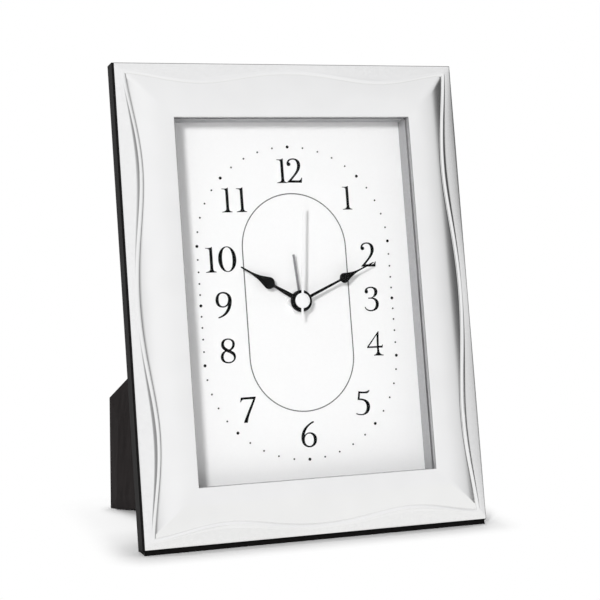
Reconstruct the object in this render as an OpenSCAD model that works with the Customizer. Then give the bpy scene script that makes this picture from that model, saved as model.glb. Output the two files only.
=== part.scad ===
// Photo frame clock: a leaning table clock in a silver picture frame
// Pieces are drawn in the face frame: x right, y up the face, z out of the face.
// The origin of the whole is the middle of the flat that the frame stands on.

/* [Frame] */
// Width over the silver front
frame_w = 175; // [165:1:210]
// Height of the silver front
frame_h = 229; // [215:1:260]
// Width of the moulding, from the outer edge to the opening
band_w = 27; // [25:0.5:30]
// Depth of the black body at its edge
body_t = 9; // [8:0.5:12]
// How far the black body stands out past the silver
ledge = 0.4; // [0.2:0.1:1]
// Lean of the face from upright, in degrees
lean = 12; // [10:0.5:14]
// Width of the step at the back that holds glass and dial
rabbet_w = 3.5; // [2.5:0.5:5]

/* [Silver front] */
// Thickness of the silver sheet
sheet_t = 0.6; // [0.4:0.1:0.8]
// Height of the sheet's turned-down outer edge
skirt_h = 1.3; // [1:0.1:1.6]
// Distance of the ridge from the edge at corners and mid sides
ridge_near = 4.3; // [4:0.1:5.5]
// Distance of the ridge from the edge at its inward bulges
ridge_far = 9.3; // [8:0.1:10.5]
// Height of the opening's edge over the body
lip_h = 5.7; // [5:0.1:7]
// Steps along each side of the silver sheet
side_steps = 14; // [10:2:20]

/* [Glass and dial] */
// Thickness of the glass
glass_t = 2; // [1.5:0.5:3]
// Depth from the opening's edge to the glass
glass_drop = 2.5; // [2:0.1:3]
// Thickness of the dial plate
dial_t = 0.8; // [0.5:0.1:1.5]
// Distance from the dial's face to the glass
hand_room = 8.7; // [8.4:0.1:10]
// How far the dial's middle lies under the frame's middle
dial_drop = 1.6; // [0:0.1:3]
// Play of glass, dial and surround in the body
pane_play = 0.4; // [0.2:0.1:0.8]

/* [Hands] */
// Length of the minute hand
minute_len = 43.2; // [38:0.1:47]
// Length of the hour hand
hour_len = 34.4; // [30:0.1:37]
// Length of the second hand, centre to tip
second_len = 46.1; // [40:0.1:51]
// Length of the alarm hand
alarm_len = 23.1; // [18:0.1:28]
// Radius of the round hub on the hour and minute hands
hub_r = 5.3; // [4.5:0.1:5.6]
// Radius of the disc on the second hand
disc_r = 3.7; // [3:0.1:4.2]
// Thickness of each hand
hand_t = 0.3; // [0.2:0.1:0.4]

/* [Movement] */
// Depth of the movement case
case_d = 16; // [16:0.5:18]
// Wall of the movement case
case_wall = 1.2; // [1:0.1:1.5]
// Radius of the setting knobs
knob_r = 6; // [5:0.5:6.5]
// How far the setting knobs stand out
knob_h = 2.8; // [2:0.1:3.2]
// Diameter of the battery
battery_d = 14.2; // [13.8:0.1:14.4]
// Length of the battery without its cap
battery_len = 48.8; // [48:0.1:49.2]
// Travel of the alarm switch
switch_travel = 4; // [3:0.5:5]

/* [Back cover] */
// Distance from the frame's edge to the cover's edge
cover_inset = 12; // [10:0.5:14]
// Depth of the cover
cover_d = 19.8; // [19.8:0.1:24]
// Wall of the cover
cover_wall = 2; // [1.6:0.1:3]
// Corner radius of the cover
cover_r = 6; // [4:0.5:8]
// Gap round the movement in the cover's window
window_gap = 2; // [1:0.5:3]
// Radius of the cover screws' heads
screw_head_r = 2.8; // [2.4:0.1:3.2]

/* [Strut] */
// How far the strut turns from folded to open, in degrees
strut_open = 119.5; // [110:0.5:121]
// Length of the strut from its hinge to its outer edge
strut_len = 77.1; // [70:0.1:82]
// Height of the strut's outer edge
strut_side = 57.7; // [50:0.1:64]
// Height of the strut along its hinge
strut_back = 102; // [90:0.5:108]
// How much the outer edge draws in from foot to shoulder
strut_taper = 4.3; // [0:0.1:8]
// Thickness of the strut at its edge
strut_t = 8; // [6:0.5:9]
// Width of the bevel round the strut's outer face
bevel_w = 7; // [4:0.5:9]
// Height of the bevel
bevel_h = 1.5; // [0.5:0.1:2.5]
// Radius of the hinge barrels
barrel_r = 2; // [1.6:0.1:2.4]
// Length of each hinge
hinge_len = 20; // [16:1:26]
// Width of each hinge leaf
leaf_w = 12; // [9:0.5:14]
// Thickness of each hinge leaf
leaf_t = 0.8; // [0.6:0.1:1.2]

/* [Hidden] */
$fn = 48;

// Heights over the body's back plane, along the face frame's z
lip_z = body_t + lip_h;
glass_front = lip_z - glass_drop;
glass_back = glass_front - glass_t;
dial_front = glass_back - hand_room;
dial_back = dial_front - dial_t;
case_back = dial_back - case_d;
case_split = dial_back - 3.7;
cover_back = -cover_d;
knob_gap = 0.3;

// Sizes of the opening and of what lies in the step behind it
open_w = frame_w - 2 * band_w;
open_h = frame_h - 2 * band_w;
pane_w = open_w + 2 * rabbet_w - 2 * pane_play;
pane_h = open_h + 2 * rabbet_w - 2 * pane_play;
mid_y = frame_h / 2;
dial_y = mid_y - dial_drop;

// Sizes of the cover's outline
cover_w = frame_w - 2 * cover_inset;
cover_h = frame_h - 2 * cover_inset;

// Hinge axis of the strut
seat_gap = 0.4;
axis_z = cover_back - barrel_r - seat_gap;
hinge_in = 39.7;
axis_x = hinge_in - cover_w / 2;
hinge_ys = [40, 98];
pin_r = barrel_r / 2;
pin_play = 0.05;
knuckle_gap = 0.25;
edge_gap = 0.9;
foot_y = 17;

// Arbors and tubes, from the inside out
fit = 0.06;
second_r = 0.5;
minute_out = 1.3;
hour_out = 2;
alarm_out = 2.7;
stem_bore = alarm_out + 0.1;
stem_r = 4;
pivot_r = 0.4;
shaft_r = 0.8;

// Heights of the hands
nut_back = dial_front + 0.4;
nut_t = 1.8;
alarm_z = nut_back + nut_t + 0.45;
hour_z = alarm_z + 0.75;
minute_z = hour_z + 1.2;
second_z = minute_z + 1.2;
collar_h = 0.4;

// Angles of the hands at rest, from twelve, clockwise
hour_at = 301;
minute_at = 65.8;
second_at = 5.1;
alarm_at = -4.6;

// Teeth and modules of the wheels
motion_m = 0.4;
motion_d = (12 + 36) * motion_m / 2;
hour_m = 2 * motion_d / 50;
alarm_m = 0.4;
alarm_d = (36 + 24) * alarm_m / 2;
train_m = 0.2;
third_d = (60 + 8) * train_m / 2;
centre_m = 2 * third_d / 72;
second_m = 0.35;
step_d = (40 + 8) * second_m / 2;
rotor_m = 0.25;
rotor_d = (48 + 8) * rotor_m / 2;

// Directions of the arbors, in degrees from the right
motion_dir = 45;
alarm_dir = 160;
third_dir = 100;
step_dir = 200;
rotor_dir = 180;

// Places of the arbors round the dial's middle
function polar(r, a) = [r * cos(a), r * sin(a)];
motion_at = polar(motion_d, motion_dir);
time_at = motion_at + [motion_d, 0];
alarm_knob_at = polar(alarm_d, alarm_dir);
third_at = polar(third_d, third_dir);
step_at = polar(step_d, step_dir);
rotor_at = step_at + polar(rotor_d, rotor_dir);

// Heights of the wheels, as depths behind the movement's front
alarm_layer = dial_back - 2.4;
hour_layer = dial_back - 3.6;
motion_layer = dial_back - 4.9;
centre_layer = dial_back - 6.1;
third_layer = dial_back - 7.5;
second_layer = dial_back - 8.9;
step_layer = dial_back - 10.3;
magnet_layer = dial_back - 13.4;
wheel_t = 0.7;

// Movement case, as wide as the battery and its contacts need
contact_room = 4.8;
case_w = battery_len + contact_room + 2 * case_wall;
inner_w = case_w - 2 * case_wall;

// Battery bay in the lower part of the movement
bay_y = -19.2;
bay_w = battery_d + 0.5;
bay_len = inner_w - 1;
battery_z = case_back + battery_d / 2 - 0.1;
knurls = 20;

// Puts a piece that is drawn in the face frame on its stand
module stand() {
  rotate([90 - lean, 0, 0])
    translate([0, ledge + body_t / 2 * tan(lean), -body_t / 2])
      children();
}

// Puts a piece that is drawn round the opening's middle on its stand
module at_opening() {
  stand()
    translate([0, mid_y, 0])
      children();
}

// Puts a piece that is drawn round the dial's middle on its stand
module at_dial() {
  stand()
    translate([0, dial_y, 0])
      children();
}

// Rectangle with true round corners, centred
module round_rect(w, h, r) {
  square([w - 2 * r, h], center = true);
  square([w, h - 2 * r], center = true);
  for (x = [-1, 1], y = [-1, 1])
    translate([x * (w / 2 - r), y * (h / 2 - r)])
      circle(r);
}

// Tube along z
module tube(out, bore, h) {
  difference() {
    cylinder(r = out, h = h);
    translate([0, 0, -1])
      cylinder(r = bore, h = h + 2);
  }
}

// Point on the rectangle that lies a distance in from the front's edge
function rim_point(side, t, in, z) =
  let (w = frame_w / 2 - in, h = frame_h - 2 * in)
  side == 0 ? [-w + 2 * w * t, in, z] :
  side == 1 ? [w, in + h * t, z] :
  side == 2 ? [w - 2 * w * t, in + h, z] :
  [-w, in + h - h * t, z];

// Joins closed sections into a closed ring
module ring_of(sections) {
  n = len(sections);
  k = len(sections[0]);
  points = [for (s = sections) each s];
  faces = [for (i = [0:n - 1], j = [0:k - 1])
    let (a = i * k + j, b = i * k + (j + 1) % k,
      c = ((i + 1) % n) * k + (j + 1) % k, d = ((i + 1) % n) * k + j)
    each [[a, b, c], [a, c, d]]];
  polyhedron(points, faces, convexity = 8);
}

// Distance of the ridge from the edge, at a place from 0 to 1 along a side
ridge_skew = 0.756;
function ridge_in(t) =
  let (x = pow(2 * min(t, 1 - t), ridge_skew))
  ridge_near + (ridge_far - ridge_near) * (1 - cos(360 * x)) / 2;

// Crowned moulding: it rises from the ridge, flattens and falls a little to the opening
crown_in = band_w - 4.8;
lip_in = band_w - 0.5;
rise_in = ridge_near + 0.9;
rise_foot = skirt_h + 0.85;
rise_k = (lip_h - rise_foot) / (pow(crown_in - rise_in, 2) - pow(crown_in - lip_in, 2));
function rise(d) =
  lip_h + rise_k * (pow(crown_in - lip_in, 2) - pow(crown_in - d, 2));
rise_points = 6;
function rise_at(r, i) =
  let (start = r + 1.3, d = start + (lip_in - start) * i / (rise_points + 1))
  [d, rise(d)];

// Rim outside the ridge, from the edge to the foot of the ridge's flank
function ridge_part(r) = (r - ridge_near) / (ridge_far - ridge_near);
function ridge_top(r) = rise(r + 0.9) + 0.15;
function foot_in(r) = r - 1.1 - 1.1 * ridge_part(r);
function foot_top(r) = ridge_top(r) - 0.15 - 0.8 * ridge_part(r);
rim_in = 0.3;
rim_h = skirt_h + 0.3;
function rim_at(r, s) =
  [rim_in + (foot_in(r) - rim_in) * s, rim_h + (foot_top(r) - rim_h) * (1.2 * s - 0.2 * s * s)];

// Section of the silver sheet: distance in from the edge, height over the body
function sheet_section(r) = [
  [0, 0],
  [0, skirt_h],
  for (s = [0:0.25:1]) rim_at(r, s),
  [r - 0.7, ridge_top(r) - 0.06],
  [r - 0.45, ridge_top(r) + 0.03],
  [r + 0.45, ridge_top(r) - 0.04],
  [r + 0.7, ridge_top(r) - 0.12],
  [r + 0.9, ridge_top(r) - 0.3],
  for (i = [0:rise_points]) rise_at(r, i),
  [lip_in, lip_h],
  [band_w, lip_h - 0.45],
  [band_w, lip_h - glass_drop],
  [band_w - sheet_t, lip_h - glass_drop],
  [band_w - sheet_t, lip_h - 0.8],
  for (i = [rise_points:-1:1]) rise_at(r, i) - [0, sheet_t],
  [r + 1, ridge_top(r) - 0.3 - sheet_t],
  [foot_in(r), foot_top(r) - sheet_t],
  [sheet_t + 0.1, skirt_h - 0.2],
  [sheet_t, 0]
];

module silver_front() {
  color("gainsboro")
    stand()
      translate([0, 0, body_t])
        ring_of([for (side = [0:3], i = [0:side_steps - 1])
          let (t = i / side_steps)
          [for (p = sheet_section(ridge_in(t))) rim_point(side, t, p[0], p[1])]]);
}

// Section of the black body: distance in from the silver's edge, height
core_in = band_w - sheet_t - 0.4;
back_chamfer = 0.8;
core_step = sheet_t + 0.3;
body_section = [
  [back_chamfer - ledge, 0],
  [-ledge, back_chamfer],
  [-ledge, body_t - ledge],
  [0, body_t],
  [core_step, body_t],
  [core_step, body_t + skirt_h - 0.5],
  [ridge_far + 0.8, body_t + skirt_h - 0.5],
  [ridge_far + 2.3, body_t + rise(ridge_far + 2.3) - sheet_t - 0.5],
  [core_in, lip_z - 1.6],
  [core_in, glass_front],
  [band_w - rabbet_w, glass_front],
  [band_w - rabbet_w, 0]
];

// Foot of the body, planed level so that the frame leans
module level_foot() {
  drop = body_t * tan(lean);
  translate([-frame_w / 2 - ledge + back_chamfer, 0, 0])
    rotate([90, 0, 90])
      linear_extrude(frame_w + 2 * ledge - 2 * back_chamfer)
        polygon([[2, 0], [-ledge, 0], [-ledge - drop, body_t], [0, body_t], [2, body_t]]);
}

// Places of the cover's screws, round the frame's middle
screw_in = 7.5;
screw_x = frame_w / 2 - cover_inset - screw_in;
screw_y = frame_h / 2 - cover_inset - screw_in;
pilot_r = 1.2;
pilot_d = 7;

module at_cover_screws() {
  for (x = [-1, 1], y = [-1, 1])
    translate([x * screw_x, mid_y + y * screw_y, 0])
      children();
}

module frame_body() {
  color("#141313")
    stand()
      difference() {
        union() {
          ring_of([for (side = [0:3])
            [for (p = body_section) rim_point(side, 0, p[0], p[1])]]);
          level_foot();
        }
        at_cover_screws()
          translate([0, 0, -1])
            cylinder(r = pilot_r, h = pilot_d + 1);
      }
}

module pane(t) {
  linear_extrude(t)
    square([pane_w, pane_h], center = true);
}

module glass() {
  color("azure", 0.25)
    at_opening()
      translate([0, 0, glass_back])
        pane(glass_t);
}

module dial_surround() {
  color("#a7a8aa")
    at_opening()
      translate([0, 0, dial_front])
        difference() {
          pane(hand_room);
          translate([0, 0, -1])
            linear_extrude(hand_room + 2)
              square([open_w, open_h], center = true);
        }
}

module dial_plate() {
  color("white")
    at_opening()
      translate([0, 0, dial_back])
        difference() {
          pane(dial_t);
          translate([0, -dial_drop, -1])
            cylinder(r = stem_r + 0.3, h = dial_t + 2);
        }
}

// The cover's edge, and its posts that press on the dial
cover_edge = 3;
post_r = 2.5;
post_in = 10;
boss_r = 5;
boss_floor = 3;
window_w = case_w + 2 * window_gap;

module cover_shell() {
  difference() {
    hull() {
      translate([0, 0, cover_back + cover_edge])
        linear_extrude(cover_d - cover_edge)
          round_rect(cover_w, cover_h, cover_r);
      translate([0, 0, cover_back])
        linear_extrude(1)
          round_rect(cover_w - 2 * cover_edge, cover_h - 2 * cover_edge, cover_r - 1);
    }
    translate([0, 0, cover_back + cover_wall])
      linear_extrude(cover_d)
        round_rect(cover_w - 2 * cover_wall - 2, cover_h - 2 * cover_wall - 2, cover_r - 2);
  }
}

// Slots in the cover that let the alarm be heard
module sound_slots() {
  for (i = [-2:2])
    translate([i * 6, 55, cover_back - 1])
      linear_extrude(cover_wall + 2)
        round_rect(2, 14, 0.99);
}

module leaf_screw_places() {
  for (y = hinge_ys, k = [-1, 1])
    translate([0, y + k * hinge_len * 0.28, 0])
      children();
}

leaf_screw_in = leaf_w * 0.6;
leaf_screw_r = 0.9;
leaf_screw_len = 5;

module back_cover() {
  color("#1b1b1c")
    stand()
      difference() {
        translate([0, mid_y, 0]) {
          difference() {
            union() {
              cover_shell();
              translate([0, -dial_drop, cover_back])
                linear_extrude(cover_wall + 1.5)
                  square(window_w + 4, center = true);
            }
            translate([0, -dial_drop, cover_back - 1])
              linear_extrude(cover_wall + 4)
                round_rect(window_w, window_w, 3);
            sound_slots();
          }
          for (x = [-1, 1], y = [-1, 1])
            translate([x * (pane_w / 2 - post_in), y * (pane_h / 2 - post_in), cover_back + 1])
              cylinder(r = post_r, h = cover_d - 1 + dial_back);
          for (x = [-1, 1], y = [-1, 1])
            translate([x * screw_x, y * screw_y, cover_back + 1])
              cylinder(r = boss_r, h = cover_d - 1);
        }
        at_cover_screws() {
          translate([0, 0, cover_back - 1])
            cylinder(r = screw_head_r + 0.4, h = cover_d - boss_floor + 1);
          translate([0, 0, cover_back - 1])
            cylinder(r = 1.7, h = cover_d + 2);
        }
        leaf_screw_places()
          translate([axis_x - leaf_screw_in, 0, cover_back - 1])
            cylinder(r = leaf_screw_r, h = cover_wall + 2);
      }
}

module cover_screws() {
  color("#3a3a3c")
    stand()
      at_cover_screws()
        translate([0, 0, -boss_floor])
          difference() {
            union() {
              translate([0, 0, -1.8])
                cylinder(r = screw_head_r, h = 1.8);
              cylinder(r = pilot_r, h = boss_floor + pilot_d - 1);
            }
            for (a = [0, 90])
              rotate(a)
                translate([-1.6, -0.35, -3])
                  cube([3.2, 0.7, 2.1]);
          }
}

// Puts a piece that is drawn with the strut folded at the strut's open place
module at_strut() {
  stand()
    translate([axis_x, 0, axis_z])
      rotate([0, strut_open, 0])
        children();
}

// Faces of the strut, from its hinge axis, with the strut folded
strut_in = barrel_r;
strut_out = strut_in - strut_t;

module strut_outline(inset) {
  slope = atan2(strut_back - strut_side, strut_len - strut_taper - edge_gap);
  shoulder = inset * (1 + sin(slope)) / cos(slope);
  polygon([
    [edge_gap + inset, foot_y + inset],
    [strut_len - inset, foot_y + inset],
    [strut_len - strut_taper - inset, foot_y + strut_side - shoulder],
    [edge_gap + inset, foot_y + strut_back - shoulder - inset * tan(slope)]
  ]);
}

module strut_panel() {
  color("#1a1918")
    difference() {
      at_strut()
        difference() {
          union() {
            translate([0, 0, strut_out])
              linear_extrude(strut_t)
                strut_outline(0);
            hull() {
              translate([0, 0, strut_out])
                linear_extrude(0.1)
                  strut_outline(0.2);
              translate([0, 0, strut_out - bevel_h])
                linear_extrude(0.1)
                  strut_outline(bevel_w);
            }
          }
          for (y = hinge_ys) {
            translate([-1, y - hinge_len / 2 - 0.5, strut_out - bevel_h - 1])
              cube([edge_gap + 3.6, hinge_len + 1, strut_t + bevel_h + 2]);
            translate([0, y - hinge_len / 2 - 0.2, strut_in - leaf_t])
              cube([leaf_w + 0.3, hinge_len + 0.4, leaf_t + 1]);
          }
          leaf_screw_places()
            translate([leaf_screw_in, 0, strut_in - leaf_screw_len])
              cylinder(r = leaf_screw_r, h = leaf_screw_len + 1);
        }
      translate([-frame_w, -frame_w, -40])
        cube([2 * frame_w, 3 * frame_w, 40]);
    }
}

// Lengths of the three knuckles of each hinge
knuckle = (hinge_len - 2 * knuckle_gap) / 3;

module barrel(y, len) {
  translate([0, y, 0])
    rotate([-90, 0, 0])
      cylinder(r = barrel_r, h = len);
}

module hinge_bore() {
  translate([0, -hinge_len, 0])
    rotate([-90, 0, 0])
      cylinder(r = pin_r + pin_play, h = 2 * hinge_len);
}

module countersink(side) {
  for (k = [-1, 1])
    translate([side * leaf_screw_in, k * hinge_len * 0.28, 0]) {
      translate([0, 0, -3])
        cylinder(r = leaf_screw_r + 0.05, h = 8);
      children();
    }
}

// Leaf on the cover, round the hinge axis and the middle of its length
leaf_back = barrel_r + seat_gap - leaf_t;
module fixed_leaf() {
  difference() {
    union() {
      translate([-leaf_w, -hinge_len / 2, leaf_back])
        cube([leaf_w - barrel_r - 0.3, hinge_len, leaf_t]);
      for (y = [-hinge_len / 2, hinge_len / 2 - knuckle]) {
        translate([-barrel_r - 0.4, y, leaf_back])
          cube([barrel_r + 0.4, knuckle, leaf_t]);
        barrel(y, knuckle);
      }
    }
    hinge_bore();
    countersink(-1);
  }
}

module moving_leaf() {
  difference() {
    union() {
      translate([barrel_r + 0.3, -hinge_len / 2, barrel_r - leaf_t])
        cube([leaf_w - barrel_r - 0.3, hinge_len, leaf_t]);
      translate([0, -knuckle / 2, barrel_r - leaf_t])
        cube([barrel_r + 0.4, knuckle, leaf_t]);
      barrel(-knuckle / 2, knuckle);
    }
    hinge_bore();
    countersink(1);
  }
}

module hinge_fixed_leaves() {
  color("#b08d4a")
    stand()
      for (y = hinge_ys)
        translate([axis_x, y, axis_z])
          fixed_leaf();
}

module hinge_moving_leaves() {
  color("#b08d4a")
    at_strut()
      for (y = hinge_ys)
        translate([0, y, 0])
          moving_leaf();
}

module hinge_pins() {
  color("#8f7038")
    stand()
      for (y = hinge_ys)
        translate([axis_x, y - hinge_len / 2 - 0.4, axis_z])
          rotate([-90, 0, 0])
            cylinder(r = pin_r, h = hinge_len + 0.8);
}

// Small round-headed screw, head towards -z, seated at the height 0
module leaf_screw() {
  difference() {
    union() {
      cylinder(r = leaf_screw_r - 0.05, h = leaf_screw_len - leaf_t);
      translate([0, 0, -0.5])
        cylinder(r = 1.7, h = 0.5);
    }
    translate([-2, -0.2, -0.8])
      cube([4, 0.4, 0.5]);
  }
}

module hinge_screws() {
  color("#b08d4a")
    stand()
      leaf_screw_places()
        translate([axis_x - leaf_screw_in, 0, axis_z + leaf_back])
          leaf_screw();
}

module strut_screws() {
  color("#b08d4a")
    at_strut()
      leaf_screw_places()
        translate([leaf_screw_in, 0, strut_in])
          mirror([0, 0, 1])
            difference() {
              cylinder(r = leaf_screw_r - 0.05, h = leaf_screw_len - 0.4);
              translate([-2, -0.2, -0.5])
                cube([4, 0.4, 0.8]);
            }
}

// Toothed wheel: straight-flanked teeth with room for play
function tooth_ring(n, m) = [for (i = [0:n - 1])
  let (pitch = 360 / n, r = n * m / 2)
  each [
    polar(r - 1.15 * m, (i - 0.29) * pitch),
    polar(r + 0.8 * m, (i - 0.11) * pitch),
    polar(r + 0.8 * m, (i + 0.11) * pitch),
    polar(r - 1.15 * m, (i + 0.29) * pitch)]];

module wheel(n, m, t, tooth_at) {
  rotate(tooth_at)
    linear_extrude(t)
      polygon(tooth_ring(n, m));
}

// Direction of a tooth that leaves a gap facing a neighbour
function gap_towards(dir, n) = dir + 180 / n;

// Layers of the movement: a thin pin through an arbor's wheels
module arbor(from, to) {
  translate([0, 0, from])
    cylinder(r = pivot_r, h = to - from);
}

bay_top = bay_y + bay_w / 2;
case_r = 3;

// Blind holes in the front wall for the arbors' front pivots
pivot_end = dial_back - 0.5;

module front_pivots() {
  for (p = [motion_at, time_at, alarm_knob_at])
    translate([p[0], p[1], case_split])
      cylinder(r = pivot_r + fit, h = pivot_end + 0.1 - case_split);
}

module movement_front_case() {
  color("#202022")
    at_dial()
      difference() {
        union() {
          difference() {
            translate([0, 0, case_split])
              linear_extrude(dial_back - case_split)
                round_rect(case_w, case_w, case_r);
            translate([0, 0, case_split - case_wall])
              linear_extrude(dial_back - case_split)
                square(inner_w, center = true);
          }
          translate([0, 0, dial_back - 1])
            cylinder(r = stem_r, h = nut_back + nut_t + 0.2 - dial_back + 1);
        }
        front_pivots();
        translate([0, 0, case_back])
          cylinder(r = stem_bore, h = 2 * case_d);
      }
}

// Posts from the rear wall that carry the arbors' back pivots
post_w = 1.1;
bridge_t = 0.4;
bridge_z = third_layer - 0.2 - bridge_t;
bridge_at = polar(second_m * 20 + post_w + 0.6, third_dir);

module rear_pivots() {
  difference() {
    union() {
      translate([step_at[0], step_at[1], case_back + 0.5])
        cylinder(r = post_w, h = step_layer - 0.6 - case_back - 0.5);
      translate([bridge_at[0], bridge_at[1], case_back + 0.5])
        cylinder(r = post_w, h = bridge_z + bridge_t - case_back - 0.5);
      for (p = [bridge_at, third_at])
        translate([p[0], p[1], bridge_z])
          cylinder(r = post_w, h = bridge_t);
      translate([third_at[0], third_at[1], bridge_z])
        rotate(third_dir)
          translate([0, -post_w, 0])
            cube([norm(bridge_at - third_at), 2 * post_w, bridge_t]);
    }
    for (p = [third_at, step_at])
      translate([p[0], p[1], case_back + 1])
        cylinder(r = pivot_r + fit, h = case_d);
  }
}

switch_at = [-14, 20];
switch_w = 5;
switch_h = 3.6;

module movement_rear_case() {
  color("#29292b")
    at_dial()
      difference() {
        union() {
          difference() {
            translate([0, 0, case_back])
              linear_extrude(case_split - case_back)
                round_rect(case_w, case_w, case_r);
            translate([0, 0, case_back + case_wall])
              linear_extrude(case_d)
                square(inner_w, center = true);
          }
          translate([-inner_w / 2 - 0.1, bay_top, case_back + 0.5])
            cube([inner_w + 0.2, 1, case_split - case_back - 0.5]);
          rear_pivots();
        }
        translate([-bay_len / 2, bay_top - bay_w, case_back - 1])
          cube([bay_len, bay_w, case_wall + 2]);
        for (p = [time_at, alarm_knob_at])
          translate([p[0], p[1], case_back - 1])
            cylinder(r = shaft_r + fit, h = case_wall + 2);
        translate([switch_at[0] - switch_w / 2 - 0.2,
          switch_at[1] - switch_h / 2 - 0.2, case_back - 1])
          cube([switch_w + switch_travel + 0.4, switch_h + 0.4, case_wall + 2]);
      }
}

module fixing_washer() {
  color("#2b2b2b")
    at_dial()
      translate([0, 0, dial_front])
        tube(6.5, stem_r + 0.2, nut_back - dial_front);
}

module fixing_nut() {
  color("#c3a04e")
    at_dial()
      translate([0, 0, nut_back])
        difference() {
          cylinder(r = 6.2, h = nut_t, $fn = 6);
          translate([0, 0, -1])
            cylinder(r = stem_r + 0.05, h = nut_t + 2);
        }
}

// Half outline of a spade-shaped hand: length along the hand, half width
stem_w = 0.85;
tip_w = 0.12;
function spade_half(len, bulb_at, bulb_w) = [
  [0, stem_w],
  [bulb_at - bulb_w * 0.95, stem_w],
  for (a = [-55:22:55])
    [bulb_at + bulb_w * 0.9 * sin(a), bulb_w * (0.45 + 0.55 * cos(a))],
  for (s = [0.15:0.17:0.83])
    [bulb_at + bulb_w * 0.9 + (len - bulb_at - bulb_w * 0.9) * s,
      tip_w + bulb_w * 0.62 * pow(1 - s, 1.9)],
  [len, 0.05]
];

module hand_from(half) {
  n = len(half);
  linear_extrude(hand_t)
    polygon([for (p = half) p, for (i = [n - 1:-1:0]) [half[i][0], -half[i][1]]]);
}

module turn_to(clock_angle) {
  rotate(90 - clock_angle)
    children();
}

module hour_hand() {
  color("#101010")
    at_dial()
      difference() {
        translate([0, 0, hour_z]) {
          turn_to(hour_at)
            hand_from(spade_half(hour_len, hour_len * 0.545, 2.75));
          translate([0, 0, -collar_h])
            cylinder(r = hour_out + 1.4, h = collar_h + hand_t);
          cylinder(r = hub_r, h = hand_t);
        }
        cylinder(r = hour_out + 0.02, h = 30);
      }
}

module minute_hand() {
  color("#101010")
    at_dial()
      difference() {
        translate([0, 0, minute_z]) {
          turn_to(minute_at)
            hand_from(spade_half(minute_len, minute_len * 0.62, 2.1));
          translate([0, 0, -collar_h])
            cylinder(r = minute_out + 1.3, h = collar_h + hand_t);
          cylinder(r = hub_r, h = hand_t);
        }
        cylinder(r = minute_out + 0.02, h = 30);
      }
}

// Second hand: a thin needle with a tail, under a low round disc
tail_len = 8.6;
needle_w = 1.1;
disc_t = 0.5;

module second_hand() {
  color("silver")
    at_dial()
      translate([0, 0, second_z])
        difference() {
          union() {
            turn_to(second_at)
              translate([-tail_len, -needle_w / 2, 0])
                cube([tail_len + second_len, needle_w, hand_t]);
            cylinder(r = disc_r, h = disc_t);
            translate([0, 0, disc_t - 0.05])
              cylinder(r1 = disc_r - 0.2, r2 = disc_r - 0.9, h = 0.3);
          }
          translate([0, 0, -1])
            cylinder(r = second_r + 0.02, h = 1.6);
        }
}

alarm_w = 1.1;

module alarm_hand() {
  color("silver")
    at_dial()
      difference() {
        translate([0, 0, alarm_z]) {
          turn_to(alarm_at)
            translate([0, -alarm_w / 2, 0])
              cube([alarm_len, alarm_w, hand_t]);
          cylinder(r = alarm_out + 1.2, h = hand_t);
        }
        cylinder(r = alarm_out + 0.02, h = 30);
      }
}

// Minute pipe with its pinion; the minute hand sits on its front end
module minute_pipe() {
  color("#c9a34c")
    at_dial()
      difference() {
        union() {
          translate([0, 0, centre_layer - 0.6])
            cylinder(r = minute_out, h = minute_z + hand_t + 0.2 - centre_layer + 0.6);
          translate([0, 0, motion_layer - 0.2])
            wheel(12, motion_m, wheel_t + 0.4, motion_dir);
        }
        translate([0, 0, case_back])
          cylinder(r = second_r + fit, h = 40);
      }
}

module hour_wheel() {
  color("#c9a34c")
    at_dial()
      difference() {
        union() {
          translate([0, 0, hour_layer])
            cylinder(r = hour_out, h = hour_z + hand_t + 0.15 - hour_layer);
          translate([0, 0, hour_layer])
            wheel(40, hour_m, wheel_t, gap_towards(motion_dir, 40));
        }
        translate([0, 0, case_back])
          cylinder(r = minute_out + fit, h = 40);
      }
}

module alarm_wheel() {
  color("#c9a34c")
    at_dial()
      difference() {
        union() {
          translate([0, 0, alarm_layer])
            cylinder(r = alarm_out, h = alarm_z + hand_t - alarm_layer);
          translate([0, 0, alarm_layer])
            wheel(36, alarm_m, wheel_t, alarm_dir);
        }
        translate([0, 0, case_back])
          cylinder(r = hour_out + fit, h = 40);
      }
}

module motion_wheel() {
  color("ivory")
    at_dial()
      translate([motion_at[0], motion_at[1], 0]) {
        translate([0, 0, motion_layer])
          wheel(36, motion_m, wheel_t, gap_towards(motion_dir + 180, 36));
        translate([0, 0, hour_layer - 0.5])
          wheel(10, hour_m, wheel_t + 0.6, motion_dir + 180);
        arbor(motion_layer - 0.6, pivot_end);
      }
}

module centre_wheel() {
  color("ivory")
    at_dial()
      translate([0, 0, centre_layer])
        difference() {
          wheel(64, centre_m, wheel_t - 0.1, third_dir);
          translate([0, 0, -1])
            cylinder(r = minute_out + fit, h = 4);
        }
}

module third_wheel() {
  color("ivory")
    at_dial()
      translate([third_at[0], third_at[1], 0]) {
        translate([0, 0, centre_layer - 0.2])
          wheel(8, centre_m, wheel_t + 0.2, gap_towards(third_dir + 180, 8));
        translate([0, 0, third_layer])
          wheel(60, train_m, wheel_t - 0.1, third_dir + 180);
        arbor(bridge_z + 0.05, centre_layer + 0.6);
      }
}

module second_wheel() {
  color("ivory")
    at_dial() {
      translate([0, 0, second_layer - 0.6])
        cylinder(r = second_r, h = second_z + 0.5 - second_layer + 0.6);
      translate([0, 0, third_layer - 0.2])
        wheel(8, train_m, wheel_t + 0.2, gap_towards(third_dir, 8));
      translate([0, 0, second_layer])
        wheel(40, second_m, wheel_t - 0.1, step_dir);
    }
}

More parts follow.
